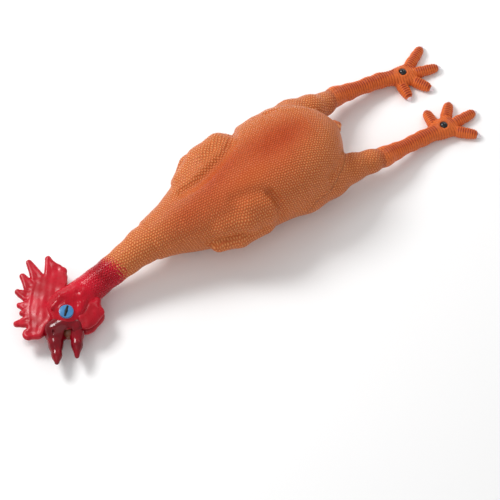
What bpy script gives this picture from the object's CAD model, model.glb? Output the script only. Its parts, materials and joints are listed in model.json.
import json
import math

import bpy
import numpy as np
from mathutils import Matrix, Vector


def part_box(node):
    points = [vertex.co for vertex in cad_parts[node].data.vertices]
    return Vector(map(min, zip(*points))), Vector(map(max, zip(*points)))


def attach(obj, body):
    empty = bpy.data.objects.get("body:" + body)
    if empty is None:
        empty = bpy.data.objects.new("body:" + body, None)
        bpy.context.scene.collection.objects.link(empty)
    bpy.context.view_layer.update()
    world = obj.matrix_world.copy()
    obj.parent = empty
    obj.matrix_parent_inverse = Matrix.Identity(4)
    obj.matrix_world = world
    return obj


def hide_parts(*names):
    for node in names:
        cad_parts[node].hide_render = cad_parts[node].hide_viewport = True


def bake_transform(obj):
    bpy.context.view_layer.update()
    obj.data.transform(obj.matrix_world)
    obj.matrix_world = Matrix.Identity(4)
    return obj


# A rubber chicken: the skin's forms are distance fields in millimetres, turned into meshes,
# cut where the rubber bends, and hung on the bodies of the frame.

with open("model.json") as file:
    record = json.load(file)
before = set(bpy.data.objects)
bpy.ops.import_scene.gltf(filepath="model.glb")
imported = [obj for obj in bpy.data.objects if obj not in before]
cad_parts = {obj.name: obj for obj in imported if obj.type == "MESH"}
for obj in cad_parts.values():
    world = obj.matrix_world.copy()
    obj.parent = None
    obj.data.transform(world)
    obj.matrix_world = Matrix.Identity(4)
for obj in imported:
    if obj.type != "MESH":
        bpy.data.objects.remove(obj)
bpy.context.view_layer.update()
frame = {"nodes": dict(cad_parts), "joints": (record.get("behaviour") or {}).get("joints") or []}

MM = 0.001
LEFT, RIGHT = 1, -1
SIDES = {"left": LEFT, "right": RIGHT}
TOES = ("outer", "middle", "inner", "hind")


def at(x, y=0.0, z=0.0):
    return np.array([x, y, z], float)


def mm(point):
    return np.array(point, float) / MM


PIVOT = {j["name"]: mm(j["pos_m"]) for j in frame["joints"] if "pos_m" in j}
AXIS = {j["name"]: np.array(j["axis"], float) for j in frame["joints"]}


def node_box(name):
    low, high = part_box(name)
    return mm(low), mm(high)


# ---- Places taken from the frame ----
NECK_ROOT = PIVOT["neck_lift"]
NECK_BEND = PIVOT["neck_turn"]
NECK_TOP = PIVOT["head_nod"]
SKIN_STEP = 1.0
HEAD_Z = (node_box("head_skin")[0][2] + node_box("head_skin")[1][2]) / 2
SKULL = at(NECK_TOP[0] - 41, NECK_TOP[1] - 4, HEAD_Z)
BODY_TOP = node_box("breast_panel")[1][2]
BODY_END = node_box("torso_skin")[1][0]
PALM_TOP = 13.0


# ---- Distance fields ----
def cone(p, a, b, ra, rb):
    """A round cone from a to b with ball ends."""
    ab = b - a
    t = np.clip((p - a) @ ab / (ab @ ab), 0, 1)
    near = a + t[:, None] * ab
    return np.linalg.norm(p - near, axis=1) - (ra + (rb - ra) * t)


def ball(p, centre, radii, turn=0.0):
    """An ellipsoid turned about Z by an angle in degrees."""
    c, s = math.cos(math.radians(turn)), math.sin(math.radians(turn))
    q = p - centre
    q = np.stack([c * q[:, 0] + s * q[:, 1], -s * q[:, 0] + c * q[:, 1], q[:, 2]], axis=1)
    q = q / np.array(radii, float)
    k = np.linalg.norm(q, axis=1)
    return (k - 1) * k / np.maximum(np.linalg.norm(q / np.array(radii, float), axis=1), 1e-6)


def ring(p, centre, radius, tube):
    """A lying ring about Z."""
    q = p - centre
    return np.hypot(np.hypot(q[:, 0], q[:, 1]) - radius, q[:, 2]) - tube


def merge(a, b, k):
    h = np.clip(0.5 + 0.5 * (b - a) / k, 0, 1)
    return b * (1 - h) + a * h - k * h * (1 - h)


def carve(a, b, k):
    """a with b taken out."""
    return -merge(-a, b, k)


def merged(fields, k):
    total = fields[0]
    for field in fields[1:]:
        total = merge(total, field, k)
    return total


def chain(p, stations, k=3.0):
    """Round cones through (point, radius) stations."""
    parts = [
        cone(p, stations[i][0], stations[i + 1][0], stations[i][1], stations[i + 1][1])
        for i in range(len(stations) - 1)
    ]
    return merged(parts, k)


def on_floor(field, p, k=2.0):
    """Flattens a field where it rests on the floor."""
    return -merge(-field, p[:, 2] - 0.15, k)


def step_up(low, high, x):
    t = np.clip((x - low) / (high - low), 0, 1)
    return t * t * (3 - 2 * t)


# ---- From a field to a mesh ----
CORNERS = [(i, j, k) for i in (0, 1) for j in (0, 1) for k in (0, 1)]
EDGES = [(a, b) for a in range(8) for b in range(a + 1, 8)
         if sum(abs(CORNERS[a][d] - CORNERS[b][d]) for d in range(3)) == 1]


def in_chunks(form):
    """The form worked out for a few thousand neighbouring points at a time, to skip what is far off."""
    def chunked(points):
        return np.concatenate([form(points[i:i + 3000]) for i in range(0, len(points), 3000)])
    return chunked


def slope(form, points, eps=0.15):
    form = in_chunks(form)
    out = np.empty_like(points)
    for k in range(3):
        shift = np.zeros(3)
        shift[k] = eps
        out[:, k] = (form(points + shift) - form(points - shift)) / (2 * eps)
    return out


def surface(form, low, high, step):
    """Vertices, quads and normals of the form's zero surface, by surface nets."""
    axes = [np.arange(low[k], high[k] + step, step) for k in range(3)]
    shape = tuple(len(a) for a in axes)
    values = np.empty(shape)
    grid_yz = np.stack(np.meshgrid(axes[1], axes[2], indexing="ij"), axis=-1).reshape(-1, 2)
    for i in range(shape[0]):
        p = np.column_stack([np.full(len(grid_yz), axes[0][i]), grid_yz])
        values[i] = form(p).reshape(shape[1:])
    inside = values < 0
    count = sum(
        inside[i:shape[0] - 1 + i, j:shape[1] - 1 + j, k:shape[2] - 1 + k].astype(int)
        for i, j, k in CORNERS
    )
    active = np.argwhere((count > 0) & (count < 8))
    corner_value = [values[tuple((active + c).T)] for c in CORNERS]
    total = np.zeros((len(active), 3))
    hits = np.zeros(len(active))
    for a, b in EDGES:
        va, vb = corner_value[a], corner_value[b]
        crossing = (va < 0) != (vb < 0)
        t = np.where(crossing, va / np.where(crossing, va - vb, 1), 0)
        spot = np.array(CORNERS[a]) + t[:, None] * (np.array(CORNERS[b]) - np.array(CORNERS[a]))
        total[crossing] += spot[crossing]
        hits[crossing] += 1
    points = np.array(low) + (active + total / hits[:, None]) * step
    index = np.full(tuple(s - 1 for s in shape), -1)
    index[tuple(active.T)] = np.arange(len(active))
    quads = []
    for k in range(3):
        u, v = (k + 1) % 3, (k + 2) % 3
        near = [slice(None)] * 3
        far = [slice(None)] * 3
        near[k], far[k] = slice(0, -1), slice(1, None)
        flip = inside[tuple(near)] != inside[tuple(far)]
        cells = np.argwhere(flip)
        cells = cells[(cells[:, u] > 0) & (cells[:, v] > 0) & (cells[:, u] < shape[u] - 1)
                      & (cells[:, v] < shape[v] - 1)]
        du, dv = np.eye(3, dtype=int)[u], np.eye(3, dtype=int)[v]
        loop = [index[tuple((cells - o).T)] for o in (0 * du, du, du + dv, dv)]
        quad = np.stack(loop, axis=1)
        outward = inside[tuple(cells.T)]
        quad[~outward] = quad[~outward][:, ::-1]
        quads.append(quad)
    quads = np.concatenate(quads)
    for _ in range(3):
        g = slope(form, points)
        f = in_chunks(form)(points)
        move = g * (f / np.maximum((g * g).sum(axis=1), 1e-3))[:, None]
        far_off = np.linalg.norm(move, axis=1) / (0.5 * step)
        points -= move / np.maximum(far_off, 1)[:, None]
    g = slope(form, points, 0.3)
    normals = g / np.maximum(np.linalg.norm(g, axis=1), 1e-6)[:, None]
    return points, quads, normals


def make_piece(name, points, quads, normals, material, paint=None, grain=None):
    """A mesh object from millimetre points; paint gives four masks per point, grain the pimples' plane."""
    used = np.unique(quads)
    lookup = np.full(len(points), -1)
    lookup[used] = np.arange(len(used))
    mesh = bpy.data.meshes.new(name)
    mesh.from_pydata((points[used] * MM).tolist(), [], lookup[quads].tolist())
    mesh.polygons.foreach_set("use_smooth", [True] * len(mesh.polygons))
    mesh.update()
    mesh.normals_split_custom_set_from_vertices(normals[used].tolist())
    if paint is not None:
        layer = mesh.attributes.new("paint", "FLOAT_COLOR", "POINT")
        layer.data.foreach_set("color", paint(points[used]).astype(np.float32).ravel())
    if grain is not None:
        layer = mesh.attributes.new("grain", "FLOAT_VECTOR", "POINT")
        layer.data.foreach_set("vector", grain(points[used]).astype(np.float32).ravel())
    mesh.materials.append(material)
    piece = bpy.data.objects.new(name, mesh)
    bpy.context.scene.collection.objects.link(piece)
    return piece


def cut(points, quads, key):
    """Splits quads by the key of each quad's middle."""
    centre = points[quads].mean(axis=1)
    keys = key(centre)
    return {int(k): quads[keys == k] for k in np.unique(keys)}


def bend(piece, way):
    """Blends a piece across a joint; before and after are distances from the pivot along way."""
    way = way / np.linalg.norm(way)
    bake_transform(piece)


# ---- Materials ----
def new_material(name):
    material = bpy.data.materials.new(name)
    material.use_nodes = True
    tree = material.node_tree
    return material, tree, tree.nodes["Principled BSDF"]


def add(tree, kind, inputs=None, **settings):
    node = tree.nodes.new(kind)
    for key, value in settings.items():
        setattr(node, key, value)
    for key, value in (inputs or {}).items():
        if hasattr(value, "is_output"):
            tree.links.new(value, node.inputs[key])
        else:
            node.inputs[key].default_value = value
    return node


def mix(tree, factor, a, b):
    """A colour between a and b."""
    return add(tree, "ShaderNodeMix", {0: factor, 6: a, 7: b}, data_type="RGBA").outputs[2]


def ramp(tree, value, low, high, to_low=0.0, to_high=1.0):
    node = add(tree, "ShaderNodeMapRange", {
        "Value": value, "From Min": low, "From Max": high, "To Min": to_low, "To Max": to_high,
    }, interpolation_type="SMOOTHSTEP")
    return node.outputs["Result"]


def math_node(tree, operation, a, b):
    return add(tree, "ShaderNodeMath", {0: a, 1: b}, operation=operation).outputs[0]


def colour(r, g, b):
    return (r, g, b, 1.0)


TAN = colour(0.72, 0.235, 0.070)
TAN_LIGHT = colour(0.86, 0.345, 0.13)
TAN_GAP = colour(0.52, 0.115, 0.026)
RUST = colour(0.44, 0.056, 0.010)
RUST_LIGHT = colour(0.54, 0.078, 0.015)
SCUTE = colour(0.70, 0.15, 0.03)
SCUTE_GAP = colour(0.28, 0.022, 0.006)
CRIMSON = colour(0.52, 0.005, 0.02)
CRIMSON_DEEP = colour(0.36, 0.002, 0.010)
PIMPLE = 2.6  # pitch of the skin's pimples, in millimetres


def skin_material():
    """Satin latex with rows of pimples. The paint attribute holds the rust airbrush in red, the
    crimson dip in green, the leg colour in blue and the smooth places in alpha."""
    material, tree, shader = new_material("latex_skin")
    place = add(tree, "ShaderNodeTexCoord").outputs["Object"]
    plane = add(tree, "ShaderNodeAttribute", attribute_name="grain").outputs["Vector"]
    paint = add(tree, "ShaderNodeAttribute", attribute_name="paint")
    masks = add(tree, "ShaderNodeSeparateColor", {"Color": paint.outputs["Color"]})
    rust, red, leg = (masks.outputs[k] for k in ("Red", "Green", "Blue"))
    smooth = paint.outputs["Alpha"]
    noise = add(tree, "ShaderNodeTexNoise", {"Vector": plane, "Scale": 180.0, "Detail": 1.0})
    stray = add(tree, "ShaderNodeVectorMath", {0: noise.outputs["Color"], "Scale": 2.2 * MM},
                operation="SCALE")
    plane = add(tree, "ShaderNodeVectorMath", {0: stray.outputs[0], 1: plane}, operation="ADD").outputs[0]
    rate = 4 * math.pi / (math.sqrt(3) * PIMPLE * MM)
    rows = 0.0
    for turn in (15, 75, 135):  # three waves at sixty degrees make a honeycomb of domes
        turned = math.radians(turn)
        wave = add(tree, "ShaderNodeVectorMath", {
            0: plane, 1: (rate * math.cos(turned), rate * math.sin(turned), 0),
        }, operation="DOT_PRODUCT").outputs["Value"]
        rows = math_node(tree, "ADD", rows, math_node(tree, "COSINE", wave, 0.0))
    dome = ramp(tree, rows, -1.3, 2.6)
    body_only = math_node(tree, "SUBTRACT", 1.0, leg)
    rough_skin = math_node(tree, "SUBTRACT", 1.0, math_node(tree, "MULTIPLY", smooth, 0.9))
    relief = math_node(tree, "MULTIPLY", math_node(tree, "MULTIPLY", dome, rough_skin), body_only)
    mottle = add(tree, "ShaderNodeTexNoise", {"Vector": place, "Scale": 38.0, "Detail": 3.0})
    plain = mix(tree, ramp(tree, dome, 0.0, 0.5), TAN_GAP, TAN)
    plain = mix(tree, ramp(tree, dome, 0.4, 1.0, 0.0, 0.6), plain, TAN_LIGHT)
    rusty = mix(tree, ramp(tree, dome, 0.2, 1.0), RUST, RUST_LIGHT)
    patch = math_node(tree, "MULTIPLY", rust, ramp(tree, mottle.outputs["Fac"], 0.2, 0.7, 0.85, 1.0))
    body = mix(tree, patch, plain, rusty)
    shins = mix(tree, ramp(tree, smooth, 0.15, 1.0), SCUTE_GAP, SCUTE)
    body = mix(tree, leg, body, shins)
    crimson = mix(tree, ramp(tree, mottle.outputs["Fac"], 0.35, 0.65), CRIMSON_DEEP, CRIMSON)
    hollow = math_node(tree, "SUBTRACT", 0.5, dome)
    edge = math_node(tree, "ADD", red, math_node(tree, "MULTIPLY", hollow, 0.2))
    body = mix(tree, ramp(tree, edge, 0.2, 0.8), body, crimson)
    tree.links.new(body, shader.inputs["Base Color"])
    rough = ramp(tree, red, 0.3, 0.8, 0.42, 0.24)
    tree.links.new(rough, shader.inputs["Roughness"])
    shader.inputs["Subsurface Weight"].default_value = 0.08
    shader.inputs["Subsurface Radius"].default_value = (0.003, 0.0010, 0.0004)
    shader.inputs["IOR"].default_value = 1.45
    shader.inputs["Specular IOR Level"].default_value = 0.25
    bump = add(tree, "ShaderNodeBump", {"Height": relief, "Distance": 0.9 * MM, "Strength": 1.0})
    tree.links.new(bump.outputs["Normal"], shader.inputs["Normal"])
    return material


def gloss_material(name, deep, bright, roughness, scale=60.0, relief=0.25, coat=0.35):
    """Glossy paint over rubber, with a little mottle and wrinkling."""
    material, tree, shader = new_material(name)
    place = add(tree, "ShaderNodeTexCoord").outputs["Object"]
    mottle = add(tree, "ShaderNodeTexNoise", {"Vector": place, "Scale": scale, "Detail": 4.0})
    fine = add(tree, "ShaderNodeTexNoise", {"Vector": place, "Scale": scale * 5, "Detail": 2.0})
    shade = mix(tree, ramp(tree, mottle.outputs["Fac"], 0.3, 0.7), deep, bright)
    tree.links.new(shade, shader.inputs["Base Color"])
    rough = ramp(tree, fine.outputs["Fac"], 0.3, 0.7, roughness * 0.8, roughness * 1.3)
    tree.links.new(rough, shader.inputs["Roughness"])
    shader.inputs["Specular IOR Level"].default_value = 0.28
    shader.inputs["Coat Weight"].default_value = coat
    shader.inputs["Coat Roughness"].default_value = 0.08
    bump = add(tree, "ShaderNodeBump", {
        "Height": fine.outputs["Fac"], "Distance": relief * MM, "Strength": 0.5,
    })
    tree.links.new(bump.outputs["Normal"], shader.inputs["Normal"])
    return material


def metal_material(name, tint):
    material, tree, shader = new_material(name)
    place = add(tree, "ShaderNodeTexCoord").outputs["Object"]
    grain = add(tree, "ShaderNodeTexNoise", {"Vector": place, "Scale": 900.0, "Detail": 2.0})
    tree.links.new(ramp(tree, grain.outputs["Fac"], 0.3, 0.7, 0.22, 0.38), shader.inputs["Roughness"])
    shader.inputs["Base Color"].default_value = tint
    shader.inputs["Metallic"].default_value = 1.0
    return material


SKIN = skin_material()
# Name, deep and bright colour, roughness, scale of the mottle, relief in millimetres, coat
RED = gloss_material("crimson_gloss", CRIMSON_DEEP, colour(0.52, 0.004, 0.020), 0.33, 60.0, 0.10, 0.0)
BEAK = gloss_material("beak_gloss", colour(0.12, 0.0, 0.004), colour(0.26, 0.001, 0.009),
                      0.18, 60.0, 0.08, 0.1)
MOUTH = gloss_material("mouth_brown", colour(0.10, 0.02, 0.006), colour(0.20, 0.05, 0.018), 0.35)
EYE = gloss_material("eye_blue", colour(0.035, 0.16, 0.36), colour(0.07, 0.24, 0.47), 0.2, 90.0, 0.05)
SLIT = gloss_material("pupil_black", colour(0.004, 0.004, 0.005), colour(0.008, 0.008, 0.010),
                      0.5, 60.0, 0.1, 0.0)
CLAW = gloss_material("claw_pale", colour(0.74, 0.56, 0.62), colour(0.90, 0.82, 0.86), 0.3, 200.0, 0.1)
PLUG = gloss_material("squeaker_black", colour(0.006, 0.006, 0.007), colour(0.015, 0.015, 0.018),
                      0.15, 300.0, 0.02)
HOLDER = gloss_material("holder_white", colour(0.72, 0.71, 0.66), colour(0.82, 0.81, 0.77), 0.4, 300.0, 0.03)
REED = metal_material("reed_brass", colour(0.80, 0.58, 0.25))


# ---- The skin ----
# Along X: half width, top and bottom of the body without its wings
BODY = np.array([
    [-123, 8.0, 45, 27], [-119, 17.0, 54, 20], [-108, 20.0, 59, 15], [-96, 25.0, 64, 10],
    [-84, 30.0, 68.5, 6], [-66, 37.0, 75, 2.5], [-46, 42.5, 80, 0.5], [-24, 47.0, 83, -1],
    [0, 50.5, 85, -1.5], [26, 52.5, 86, -1.5], [46, 50.0, 85, -1], [60, 45.0, 82.5, 1],
    [71, 38.0, 78.5, 4], [79, 30.0, 73, 9], [85, 21.0, 66, 16], [89, 12.5, 60, 23], [91.5, 3.0, 52, 32],
])
FAR = 60.0


def body_core(p):
    x = p[:, 0]
    half = np.sqrt(np.interp(x, BODY[:, 0], BODY[:, 1] ** 2))
    height = (BODY[:, 2] - BODY[:, 3]) / 2
    tall = np.sqrt(np.interp(x, BODY[:, 0], height ** 2))
    centre = np.interp(x, BODY[:, 0], (BODY[:, 2] + BODY[:, 3]) / 2)
    y, z = np.abs(p[:, 1]) / half, np.abs(p[:, 2] - centre) / tall
    k = (y ** 2.15 + z ** 2.15) ** (1 / 2.15)
    field = (k - 1) * np.minimum(half, tall) * 0.9
    beyond = np.maximum(BODY[0, 0] - x, x - BODY[-1, 0])
    return np.maximum(field, beyond)


def left_wing_field(p):
    """The left wing shows from above: a fat upper arm with a round elbow, and the fore-arm outside it."""
    arm = chain(p, [(at(-64, 24, 56), 13.2), (at(-40, 33, 59.5), 15.0), (at(-17, 37.5, 59), 14.2)], 5)
    fore = chain(p, [(at(-64, 36, 40), 8.0), (at(-46, 43, 44), 11.5), (at(-24, 45, 45), 12.0)], 4)
    return merge(arm, fore, 1.5)


def right_wing_field(p):
    """The right wing lies lower: its wrist is a corner over the flank."""
    arm = chain(p, [(at(-58, -31, 50), 11.0), (at(-36, -37, 52), 13.5), (at(-18, -39, 50), 13.5)], 5)
    fore = chain(p, [(at(-68, -38.0, 35), 7.5), (at(-48, -42, 37), 10.5), (at(-22, -42, 38), 12.0)], 4)
    return merge(arm, fore, 2.5)


# Creases (depth above zero) and ridges (below zero) pressed into the skin: path, depth and width
RELIEF = [
    ([at(-12, 25, 77), at(-25, 17, 80), at(-50, 10, 78), at(-64, 9, 74), at(-76, 12, 68)], 5.6, 4.4),
    ([at(-12, 25, 77), at(-3, 34, 73), at(2, 43, 62), at(3, 48, 50)], 4.8, 3.6),
    ([at(-17, 40, 69), at(-38, 30, 73), at(-60, 22, 70)], -2.6, 10.0),
    ([at(-34, 46, 62), at(-50, 42, 59), at(-68, 34, 56)], 1.8, 2.6),
    ([at(-80, -33, 38), at(-64, -40, 43), at(-50, -44, 48), at(-38, -45, 54)], 1.0, 3.0),
    ([at(-14, -42, 62), at(-24, -38, 66), at(-38, -34, 68)], -2.2, 7.0),
    ([at(-10, -34, 73), at(-26, -28, 75), at(-46, -24, 73)], 1.3, 6.0),
    ([at(-9, -36, 70), at(-5, -44, 62), at(-5, -50, 52), at(-7, -54, 40)], 4.2, 3.6),
    ([at(34, 38, 72), at(46, 38, 70), at(60, 33, 68), at(73, 26, 64), at(83, 23, 54)], 2.6, 3.4),
    ([at(48, 31, 77), at(60, 26, 76), at(72, 18, 72)], -1.0, 4.0),
    ([at(80, -26, 48), at(75, -33, 56), at(64, -41, 56), at(50, -46, 55)], 2.0, 3.8),
    ([at(10, -6, 85), at(34, -3, 86), at(52, 2, 84)], 1.6, 12.0),
]


def pressed(field, p):
    """Adds the creases and ridges."""
    for path, depth, width in RELIEF:
        low, high = np.min(path, axis=0)[0] - 3 * width, np.max(path, axis=0)[0] + 3 * width
        if p[-1, 0] < low or p[0, 0] > high:
            continue
        away = chain(p, [(q, 0.0) for q in path], 0.5)
        taper = 1.0 if depth > 3 else step_up(low + 2 * width, low + 3.5 * width, p[:, 0]) * step_up(
            high - 2 * width, high - 3.5 * width, p[:, 0])
        field = field + depth * taper * np.exp(-(np.maximum(away, 0) / width) ** 2)
    return field


def leg_points(name):
    hip, hock, ankle = (PIVOT[f"{name}_{k}"] for k in ("hip_swing", "hock_bend", "ankle_bend"))
    low, high = node_box(f"{name}_squeaker_housing")
    plug = (low + high) / 2
    return hip, hock, ankle, at(plug[0], plug[1], 6.4)


LEG = {name: leg_points(name) for name in SIDES}


def from_middle(x, y):
    """How far a point lies to the left of the line midway between the legs."""
    lines = [np.interp(x, [q[0] for q in LEG[name]], [q[1] for q in LEG[name]]) for name in SIDES]
    return y - sum(lines) / 2


def thigh_stations(name):
    """A thigh's line as points and radii. The two start differently at the body."""
    hip, hock = LEG[name][:2]
    if name == "left":
        upper = [(at(20, 30, 42), 16.0), (at(45, 36, 40), 17.5), (at(66, 39.5, 37.5), 16.4),
                 (at(88, 38.5, 33), 14.0)]
    else:
        upper = [(at(8, -30, 36), 15.0), (at(32, -37, 33), 16.5), (at(60, -36, 31), 16.6),
                 (at(86, -35.0, 28), 13.0)]
    return upper + [(0.5 * (hip + hock) + at(3, 0, 0.5), 10.4), (hock, 8.6)]


SHANK_RIDGES, TOE_RIDGES = 2.7, 2.3  # pitch of the cross ridges, in millimetres


def scutes(p, start, way, pitch, depth):
    """Cross ridges along a line, as saw teeth with round backs."""
    s = ((p - start) @ way) / pitch
    return depth * np.abs(np.sin(np.pi * s))


def leg_field(p, name):
    hock, ankle, palm = LEG[name][1:]
    shin = unit(ankle - hock)
    thigh = chain(p, thigh_stations(name), 6)
    if p[-1, 0] < hock[0] - 30:
        return thigh
    knob = ball(p, hock + at(1, 0, 1.0), (9.0, 8.4, 8.2))
    shank = chain(p, [(hock, 8.2), (hock + 0.3 * (ankle - hock), 7.2), (hock + 0.75 * (ankle - hock), 6.4),
                      (ankle, 6.6), (palm + 0.35 * (ankle - palm), 7.2)], 4)
    leg = merged([merge(thigh, knob, 5), shank], 5)
    sole = ball(p, palm, (10.6, 10.2, 6.6))
    leg = merge(leg, sole, 5)
    for toe in TOES:
        root, way, _ = toe_line(name, toe)
        leg = merge(leg, cone(p, palm + 0.4 * (root - palm), root + 2.5 * way, 5.2, 4.4), 3.5)
    leg = leg - scutes(p, hock, shin, SHANK_RIDGES, 0.7) * step_up(2, 12, (p - hock) @ shin)
    lip = ring(p, at(palm[0], palm[1], PALM_TOP - 0.6), 4.9, 1.15)
    well = cone(p, at(palm[0], palm[1], PALM_TOP - 1.5), at(palm[0], palm[1], PALM_TOP + 9), 3.75, 3.75)
    return carve(merge(leg, lip, 1.4), well, 0.4)


def toe_line(name, toe):
    """Root, way and length of a toe, from its joint and its claw."""
    root = PIVOT[f"{name}_{toe}_toe_curl"]
    low, high = node_box(f"{name}_{toe}_claw")
    tip = (low + high) / 2
    way = unit(at(tip[0] - root[0], tip[1] - root[1]))
    reach = float((tip - root) @ way)
    return root, way, reach


def unit(v):
    return v / np.linalg.norm(v)


NAPE = SKULL + at(26, 3)


def neck_form(p):
    return chain(p, [
        (NECK_ROOT + at(14, 0, 1), 19.5), (NECK_ROOT + at(-8, 0, -1), 16.2), (NECK_BEND, 13.8),
        ((NECK_BEND + NECK_TOP) / 2, 12.9), (NECK_TOP, 12.9), (NAPE, 14.0), (SKULL + at(12, 2), 15.0),
    ], 6)


EYE_PLACE = SKULL + at(-1.3, -11.7)


def ruffle(p, scale, amount):
    """A wrinkled skin: a few crossing waves."""
    x, y, z = (p / scale).T
    waves = (np.sin(1.7 * x + 1.1 * y + 0.6 * z) + np.sin(2.3 * y - 1.2 * x + 1.9 * z)
             + np.sin(2.9 * z + 0.9 * x - 0.7 * y) + np.sin(3.1 * x - 2.2 * y + 1.3 * z))
    return amount * waves / 4


def head_form(p):
    cranium = ball(p, SKULL + at(5, -0.5), (19.5, 16.5, 16.4), -20)
    face = ball(p, SKULL + at(-2, -12), (15.5, 14.5, 15.6), 10)
    throat = ball(p, SKULL + at(15, -14), (17, 10, 11.5), 10)
    head = merged([cranium, face, throat], 6)
    for up in (LEFT, RIGHT):
        ear = ring(p, SKULL + at(17.5, -1.5, up * 14.0), 3.6, 1.9)
        lobe = ball(p, SKULL + at(15, -11, up * 12.0), (9.0, 4.5, 3.6), 40)
        brow = chain(p, [(SKULL + at(-9, 0, up * 13.4), 2.0), (SKULL + at(2, 4, up * 15.0), 2.4),
                         (SKULL + at(10, 3, up * 14.4), 1.8)])
        head = merged([head, ear, lobe, brow], 3.0)
        socket = ball(p, EYE_PLACE + at(0, 0, up * 19.0), (8.6, 8.6, 3.6))
        head = carve(head, socket, 1.6)
    return head + ruffle(p, 4.2, 0.35)


def skin_form(p):
    """The whole moulded skin. Points come sorted along X, so what is far off is skipped."""
    first, last = p[0, 0], p[-1, 0]
    field = np.full(len(p), FAR)
    if last > BODY[0, 0] - 20:
        field = body_core(p)
    if -100 < last and first < 20:
        field = merge(field, left_wing_field(p), 3.0)
        field = merge(field, right_wing_field(p), 7.0)
    if last > 0:
        for name in SIDES:
            field = merge(field, leg_field(p, name), 8.0)
        if last > 60 and first < 120:
            tail = chain(p, [(at(78, 2, 46), 13), (at(89, 2, 47.5), 7.5), (at(95.0, 1.5, 48.5), 2.2)], 3)
            pit = ball(p, at(94.6, -1.0, 51.5), (1.3, 1.1, 1.1))
            field = carve(merge(field, tail, 4.0), pit, 0.6)
    if -110 < last and first < 110:
        field = pressed(field, p)
    if first < -70:
        field = merge(field, neck_form(p), 9)
    if first < SKULL[0] + 55:
        field = merge(field, head_form(p), 6)
    return on_floor(field, p)


NECK_CUT_0 = NECK_ROOT[0] + 21
NECK_CUT_1 = (NECK_ROOT[0] + NECK_BEND[0]) / 2
NECK_CUT_2 = (NECK_BEND[0] + NECK_TOP[0]) / 2
HIP_CUT = 3.0  # the legs are cut from the body this far past their pivots
SKIN_PIECES = ["skin_torso", "skin_neck_root", "skin_neck_middle", "skin_head"]
SKIN_PIECES += [f"skin_{name}_{part}" for name in SIDES for part in ("hip", "hock", "foot")]


def skin_key(centre):
    """Which piece of the skin a point belongs to."""
    x = centre[:, 0]
    key = (x < NECK_CUT_0).astype(int) + (x < NECK_CUT_1) + (x < NECK_CUT_2)
    for k, name in enumerate(SIDES):
        hip, hock, ankle = LEG[name][:3]
        inner = np.interp(x, [BODY_END, BODY_END + 8], [19, 0])  # clear of the tail, up to its end
        leg = (x > hip[0] + HIP_CUT) & (from_middle(x, centre[:, 1]) * SIDES[name] > inner)
        past_thigh = (centre - (hip + hock) / 2) @ unit(hock - hip) > 0
        past_shin = (centre - (hock + ankle) / 2) @ unit(ankle - hock) > 0
        key = np.where(leg, 4 + 3 * k + past_thigh + (past_thigh & past_shin), key)
    return key


def skin_paint(p):
    """Masks: rust airbrush, crimson dip, leg colour, and how smooth or how raised the skin is."""
    x, y, z = p.T
    up = step_up(30, 70, z)
    ridge_line = np.interp(x, [-120, -80, -45, -20, 15, 40, 70], [-10, -12, -11, -11, -8, 0, 2])
    reach = np.interp(x, [-120, -70, -30, 20, 45, 75], [16, 24, 31, 30, 22, 10])
    band = np.exp(-((y - ridge_line) / reach) ** 2) * step_up(-135, -85, x) * step_up(82, 45, x)
    hollow = np.exp(-(((x - 22) / 34) ** 2 + ((y - 6) / 17) ** 2))
    beside_wing = np.exp(-(((x + 38) / 34) ** 2 + ((y - 5 - 0.25 * (x + 38)) / 9) ** 2))
    rust = np.clip(up * (0.66 * band + 0.45 * hollow + 0.4 * beside_wing), 0, 1)
    speckle = 6.0 * np.sin(x * 1.7 + y * 1.1) * np.sin(y * 1.9 - z * 1.5)
    red = step_up(-153, -172, x + speckle + 0.3 * (y - NECK_TOP[1]))
    bare = np.exp(-(((x + 18) / 38) ** 2 + ((y + 16) / 14) ** 2)) * up
    smooth = np.clip(step_up(-178, -196, x) + 0.9 * bare + 0.25 * rust, 0, 1)
    leg = np.zeros(len(p))
    for name in SIDES:
        hip, hock, ankle, palm = LEG[name]
        shin = unit(ankle - hock)
        s = (p - hock) @ shin
        own = (from_middle(x, y) * SIDES[name] > 0) & (x > hip[0])
        leg = np.where(own, step_up(-18, 6, s), leg)
        off_line = np.abs((y - hock[1]) * shin[0] - (x - hock[0]) * shin[1])
        tooth = 0.72 * np.abs(np.sin(np.pi * s / SHANK_RIDGES)) + 0.4 * step_up(1.5, 6.5, off_line)
        near_plug = np.hypot(x - palm[0], y - palm[1])
        raised = np.clip(np.where(near_plug < 9, np.maximum(tooth, 0.7), tooth), 0, 1)
        smooth = np.where(own & (s > -6), raised, smooth)
    return np.column_stack([rust, red, leg, smooth])


def around(p, line, radii):
    """Length along a line of points in X, and distance round it, in millimetres."""
    x = p[:, 0]
    y = p[:, 1] - np.interp(x, line[:, 0], line[:, 1])
    z = p[:, 2] - np.interp(x, line[:, 0], line[:, 2])
    r = np.interp(x, line[:, 0], radii)
    fine = np.linspace(line[0, 0], line[-1, 0], 400)
    rise = np.gradient(np.interp(fine, line[:, 0], radii), fine)
    run = np.concatenate([[0], np.cumsum(np.hypot(1, rise)[:-1] * np.diff(fine))])
    return np.interp(x, fine, run), np.arctan2(y, z) * r


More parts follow.
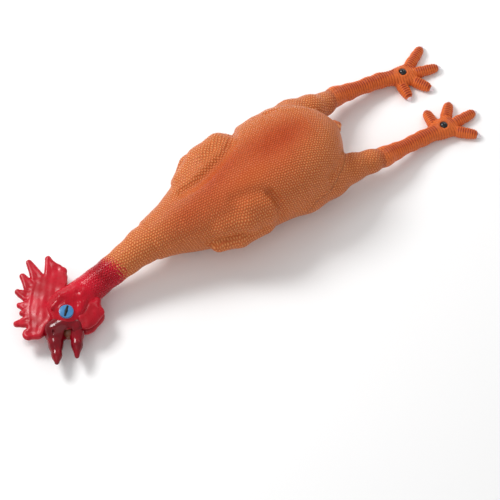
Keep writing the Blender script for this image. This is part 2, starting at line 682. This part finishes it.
def skin_grain(p):
    """A plane for the pimples: along the body and round it."""
    neck = np.array([[*SKULL], [*NECK_TOP], [*NECK_BEND], [*NECK_ROOT]])
    trunk = np.column_stack([BODY[2:, 0], np.zeros(len(BODY) - 2), (BODY[2:, 2] + BODY[2:, 3]) / 2])
    line = np.concatenate([neck, trunk])
    radii = np.concatenate([[15, 13, 13.5, 17], np.sqrt(BODY[2:, 1] * (BODY[2:, 2] - BODY[2:, 3]) / 2)])
    u, v = around(p, line, radii)
    part = np.zeros(len(p))
    for k, name in enumerate(SIDES):
        stations = thigh_stations(name)
        path = np.array([q for q, r in stations])
        girth = np.array([r for q, r in stations])
        leg_u, leg_v = around(p, path, girth)
        body = body_core(p)
        own = (chain(p, stations, 6) < body) & (p[:, 0] > path[0, 0] - 10) & (p[:, 1] * SIDES[name] > 0)
        u, v, part = np.where(own, leg_u, u), np.where(own, leg_v, v), np.where(own, k + 1, part)
    return np.column_stack([u, v, 40.0 * part]) * MM


def make_skin():
    low = at(SKULL[0] - 32, -70, -1)
    high = at(max(LEG[name][3][0] for name in SIDES) + 20, 70, BODY_TOP + 3)
    points, quads, normals = surface(skin_form, low, high, SKIN_STEP)
    parts = cut(points, quads, skin_key)
    pieces = [make_piece(name, points, parts[k], normals, SKIN, skin_paint, skin_grain)
              for k, name in enumerate(SKIN_PIECES)]
    torso, root, middle_neck, head = pieces[:4]
    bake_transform(torso)
    bend(root, unit(NECK_BEND - NECK_ROOT))
    bend(middle_neck, unit(NECK_TOP - NECK_BEND))
    bend(head, unit(NECK_TOP - NECK_BEND))
    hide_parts("torso_skin", "breast_panel", "left_thigh_root", "right_thigh_root", "tail",
                "left_wing", "right_wing")
    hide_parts("neck_lower")
    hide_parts("neck_upper")
    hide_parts("head_skin")
    for k, name in enumerate(SIDES):
        hip, hock, ankle = LEG[name][:3]
        thigh, shank, foot = pieces[4 + 3 * k:7 + 3 * k]
        bend(thigh, at(1, 0))
        bend(shank, unit(ankle - hock))
        bend(foot, unit(ankle - hock))
        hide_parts(f"{name}_thigh")
        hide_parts(f"{name}_shank")
        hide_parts(f"{name}_foot")


# ---- The comb, the wattles and the beak ----
# The comb in the head's plane, from the skull: its web, and its points as base, base radius, tip
# and tip radius
WEB = np.array([
    [18, 19], [23, 27], [25, 33], [24, 41], [19, 49], [11, 45], [6, 40.5], [-6.5, 41], [-17, 32],
    [-28.5, 18.5], [-37, 4], [-38, -9],
    [-30.3, -13.5], [-12, -6], [4, 8],
])
POINTS = [
    ([13, 38], 8.0, [17.6, 52.6], 3.2), ([17, 33], 8.0, [23.0, 34], 3.6), ([-1, 41], 6.8, [0.8, 59.4], 2.9),
    ([-12, 37], 6.2, [-11.9, 50.2], 3.0), ([-20, 30], 5.6, [-24.4, 38.8], 2.9),
    ([-27, 22], 5.0, [-30.4, 25.7], 2.7),
    ([-30, 15], 5.0, [-32.8, 16.9], 2.7), ([-33, 7], 6.2, [-43.0, 10.3], 2.8),
    ([-32, -6], 8.5, [-39, -5], 5.8),
]


def outline_distance(xy, outline):
    """Signed distance to a closed outline, negative inside."""
    best = np.full(len(xy), 1e9)
    within = np.zeros(len(xy), bool)
    for a, b in zip(outline, np.roll(outline, -1, axis=0)):
        ab = b - a
        t = np.clip((xy - a) @ ab / (ab @ ab), 0, 1)
        best = np.minimum(best, np.linalg.norm(xy - a - t[:, None] * ab, axis=1))
        span = (a[1] > xy[:, 1]) != (b[1] > xy[:, 1])
        reach = a[0] + (xy[:, 1] - a[1]) * ab[0] / (ab[1] if ab[1] else 1e-9)
        within ^= span & (xy[:, 0] < reach)
    return np.where(within, -best, best)


def comb_form(p):
    xy = p[:, :2] - SKULL[:2]
    d = outline_distance(xy, WEB)
    for base, base_r, tip, tip_r in POINTS:
        d = merge(d, cone(xy, np.array(base, float), np.array(tip, float), base_r, tip_r), 1.6)
    from_skull = np.linalg.norm(xy, axis=1)
    half = 2.4 + 3.4 * step_up(40, 18, from_skull) + 0.5 * np.exp(-((d + 3.0) / 2.2) ** 2)
    rim = 2.0
    across = np.abs(p[:, 2] - HEAD_Z) - (half - rim)
    outside = np.hypot(np.maximum(d + rim, 0), np.maximum(across, 0))
    plate = outside + np.minimum(np.maximum(d + rim, across), 0) - rim
    return plate * 0.85 + ruffle(p, 4.0, 0.28)


def make_comb():
    low, high = at(SKULL[0] - 57, SKULL[1] - 18, HEAD_Z - 9), at(SKULL[0] + 29, SKULL[1] + 68, HEAD_Z + 9)
    comb = make_piece("comb", *surface(comb_form, low, high, 0.7), RED)
    flex = AXIS["comb_flex"]
    away = at(flex[1], -flex[0])
    bend(comb, away)
    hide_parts("comb_root", "comb_blade")


def wattle_form(p):
    parts = []
    for up in (LEFT, RIGHT):
        z = up * 4.9
        parts.append(merged([
            chain(p, [(SKULL + at(30, -13, z), 4.2), (SKULL + at(23, -16, z), 5.2),
                      (SKULL + at(8, -20, z), 5.4)], 4),
            ball(p, SKULL + at(22, -21.5, z), (9.5, 8.0, 4.6), -30),
            ball(p, SKULL + at(13.5, -25.0, z), (11.0, 8.6, 4.8), 20),
        ], 4))
    return merge(parts[0], parts[1], 1.0) + ruffle(p, 4.5, 0.5)


def make_wattles():
    low, high = at(SKULL[0] - 8, SKULL[1] - 40, HEAD_Z - 14), at(SKULL[0] + 40, SKULL[1] - 3, HEAD_Z + 14)
    wattles = make_piece("wattles", *surface(wattle_form, low, high, 0.7), RED)
    line = AXIS["wattle_flap"]
    bend(wattles, at(-line[1], line[0]))
    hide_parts("left_wattle", "right_wattle")


def upper_beak_form(p):
    beak = chain(p, [(SKULL + at(-17.5, -17), 9.6), (SKULL + at(-24.2, -28.4), 6.4),
                     (SKULL + at(-29.3, -38.3), 4.4), (SKULL + at(-32.8, -44.2), 2.3)], 3)
    muzzle = chain(p, [(SKULL + at(-17, -15), 10.5), (SKULL + at(-8, -16.5), 12.6),
                       (SKULL + at(-1, -21.5), 11.2)], 3)
    beak = merge(beak, muzzle, 3)
    gape = chain(p, [(SKULL + at(-5.5, -20.5, 6), 3.4), (SKULL + at(-14, -35, 6), 5.6)], 1)
    gape = merge(gape, chain(p, [(SKULL + at(-5.5, -20.5, -6), 3.4), (SKULL + at(-14, -35, -6), 5.6)], 1), 4)
    beak = carve(beak, gape, 1.4)
    for up in (LEFT, RIGHT):
        nostril = ball(p, SKULL + at(-21, -20, up * 9.4), (2.2, 0.9, 1.8), 60)
        beak = carve(beak, nostril, 0.8)
    return beak


def lower_beak_form(p):
    return chain(p, [(SKULL + at(-1.0, -22), 7.6), (SKULL + at(-1.8, -28.7), 6.9),
                     (SKULL + at(-8.2, -39.6), 4.9), (SKULL + at(-14.0, -49.0), 2.3)], 3)


def mouth_form(p):
    return chain(p, [(SKULL + at(-7, -19), 8.6), (SKULL + at(-7.5, -24), 6.6)], 2)


def make_beak():
    low, high = at(SKULL[0] - 40, SKULL[1] - 56, HEAD_Z - 14), at(SKULL[0] + 14, SKULL[1], HEAD_Z + 14)
    upper = make_piece("beak_upper", *surface(upper_beak_form, low, high, 0.6), BEAK)
    lower = make_piece("beak_lower", *surface(lower_beak_form, low, high, 0.6), BEAK)
    mouth = make_piece("mouth_inside", *surface(mouth_form, low, high, 0.8), MOUTH)
    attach(upper, "head")
    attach(lower, "jaw")
    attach(mouth, "head")
    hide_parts("upper_beak")
    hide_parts("lower_beak")


SLIT_WAY = unit(at(8.5, 8.3))
EYE_RADIUS = 6.2


def make_eyes():
    """Flat round discs with a rolled edge, and a slit across each."""
    for name, up in SIDES.items():
        centre = EYE_PLACE + at(0, 0, up * 15.0)

        def disc_form(p, centre=centre):
            q = p - centre
            r = np.hypot(q[:, 0], q[:, 1])
            crown = 1.5 - 0.4 * (r / EYE_RADIUS) ** 2
            return np.maximum(r - EYE_RADIUS, np.abs(q[:, 2]) - crown) - 0.5

        def slit_form(p, centre=centre, up=up):
            mid = centre + at(0, 0, up * 1.8)
            return chain(p, [(mid - 4.8 * SLIT_WAY, 0.95), (mid, 1.3), (mid + 4.8 * SLIT_WAY, 0.95)], 1)

        low, high = centre - at(10, 10, 4), centre + at(10, 10, 4)
        disc = make_piece(f"eye_disc_{name}", *surface(disc_form, low, high, 0.5), EYE)
        slit = make_piece(f"eye_slit_{name}", *surface(slit_form, low, high, 0.3), SLIT)
        for piece in (disc, slit):
            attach(piece, "head")
        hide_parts(f"{name}_eye")


# ---- Toes and squeakers ----
# Length added to a toe, in millimetres
TOE_MORE = {("left", "outer"): 6.0, ("left", "hind"): -2.0, ("left", "inner"): -1.5}


def make_toe(name, toe):
    root, way, reach = toe_line(name, toe)
    end = reach - 3.0 + TOE_MORE.get((name, toe), 0.0)
    knuckles = (0.30, 0.62, 0.92)

    def toe_form(p):
        stations = [(root - 5 * way + at(0, 0, 0.4), 4.6), (root + 0.12 * end * way, 4.6)]
        stations += [(root + k * end * way + at(0, 0, -0.9 * k), 4.9 - 0.9 * k) for k in knuckles[:-1]]
        stations += [(root + (end - 2.4) * way + at(0, 0, -1.1), 3.7)]
        toe_body = chain(p, stations, 3)
        for k in knuckles:
            pad = ball(p, root + k * (end - 2.4) * way + at(0, 0, -0.4 * k), (4.4, 4.4, 4.6 - 0.7 * k))
            toe_body = merge(toe_body, pad, 2.0)
        ridge = scutes(p, root, way, TOE_RIDGES, 0.5) * step_up(-2, 2, (p - root) @ way)
        return on_floor(toe_body - ridge + 0.25, p, 1.2)

    def claw_form(p):
        return on_floor(chain(p, [(root + (end - 2.5) * way + at(0, 0, -1.2), 2.7),
                                  (root + (end + 0.5) * way + at(0, 0, -1.4), 2.2),
                                  (root + (end + 3.0) * way + at(0, 0, -2.2), 1.1)], 2), p, 0.8)

    def toe_paint(p):
        s = (p - root) @ way
        tooth = np.abs(np.sin(np.pi * s / TOE_RIDGES))
        off_line = np.abs(p[:, 1] * way[0] - p[:, 0] * way[1] - (root[1] * way[0] - root[0] * way[1]))
        edge = step_up(1.2, 4.2, off_line)
        zero, one = np.zeros(len(p)), np.ones(len(p))
        return np.column_stack([zero, zero, one, np.clip(tooth * 0.72 + 0.5 * edge, 0, 1)])

    middle_point = root + 0.5 * reach * way
    span = at(0.5 * reach + 12, 0.5 * reach + 12, 7)
    low, high = middle_point - span, middle_point + span
    piece = make_piece(f"skin_{name}_{toe}_toe", *surface(toe_form, low, high, 0.5), SKIN, toe_paint)
    bend(piece, way)
    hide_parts(f"{name}_{toe}_toe")
    claw = make_piece(f"claw_{name}_{toe}", *surface(claw_form, low, high, 0.5), CLAW)
    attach(claw, f"{name}_{toe}_toe")
    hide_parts(f"{name}_{toe}_claw")


def finish_squeakers():
    for name in SIDES:
        for part, material in (("housing", PLUG), ("holder", HOLDER), ("reed", REED)):
            mesh = frame["nodes"][f"{name}_squeaker_{part}"].data
            mesh.materials.clear()
            mesh.materials.append(material)


# ---- Camera, light and floor ----
def make_camera():
    """Above the bird and a little to its right and head end, with a long lens."""
    azimuth, elevation, distance = math.radians(-34), math.radians(60), 2.4
    ca, sa, ce, se = math.cos(azimuth), math.sin(azimuth), math.cos(elevation), math.sin(elevation)
    back = Vector((sa * ce, -ca * ce, se))
    right = Vector((ca, sa, 0))
    up = back.cross(right)
    view_width = 0.479
    target = -0.0064 * right - 0.048 * up
    camera = bpy.data.objects.new("camera", bpy.data.cameras.new("camera"))
    camera.location = target + back * distance
    camera.rotation_euler = back.to_track_quat("Z", "Y").to_euler()
    camera.data.sensor_width = 36
    camera.data.lens = 36 * distance / view_width
    bpy.context.scene.collection.objects.link(camera)
    bpy.context.scene.camera = camera


def make_light(name, place, size, power):
    lamp = bpy.data.lights.new(name, "AREA")
    lamp.size = size
    lamp.energy = power
    light = bpy.data.objects.new(name, lamp)
    light.location = place
    light.rotation_euler = Vector(place).to_track_quat("Z", "Y").to_euler()
    bpy.context.scene.collection.objects.link(light)


def make_stage():
    mesh = bpy.data.meshes.new("floor")
    r = 6.0
    mesh.from_pydata([(-r, -r, 0), (r, -r, 0), (r, r, 0), (-r, r, 0)], [], [(0, 1, 2, 3)])
    floor = bpy.data.objects.new("floor", mesh)
    bpy.context.scene.collection.objects.link(floor)
    material, _, shader = new_material("floor_white")
    shader.inputs["Base Color"].default_value = colour(0.93, 0.93, 0.93)
    shader.inputs["Roughness"].default_value = 0.8
    mesh.materials.append(material)
    world = bpy.data.worlds.new("studio")
    world.use_nodes = True
    world.node_tree.nodes["Background"].inputs["Color"].default_value = (1, 1, 1, 1)
    world.node_tree.nodes["Background"].inputs["Strength"].default_value = 0.52
    bpy.context.scene.world = world
    bpy.context.scene.view_settings.view_transform = "Standard"
    make_light("key", (-0.45, 0.95, 1.15), 0.5, 17)
    make_light("fill", (-1.0, -0.7, 1.3), 1.4, 4)
    make_light("rim", (1.1, 0.6, 0.9), 0.7, 4)


make_camera()
make_stage()
make_skin()
make_comb()
make_wattles()
make_beak()
make_eyes()
for foot_name in SIDES:
    for toe_name in TOES:
        make_toe(foot_name, toe_name)
finish_squeakers()
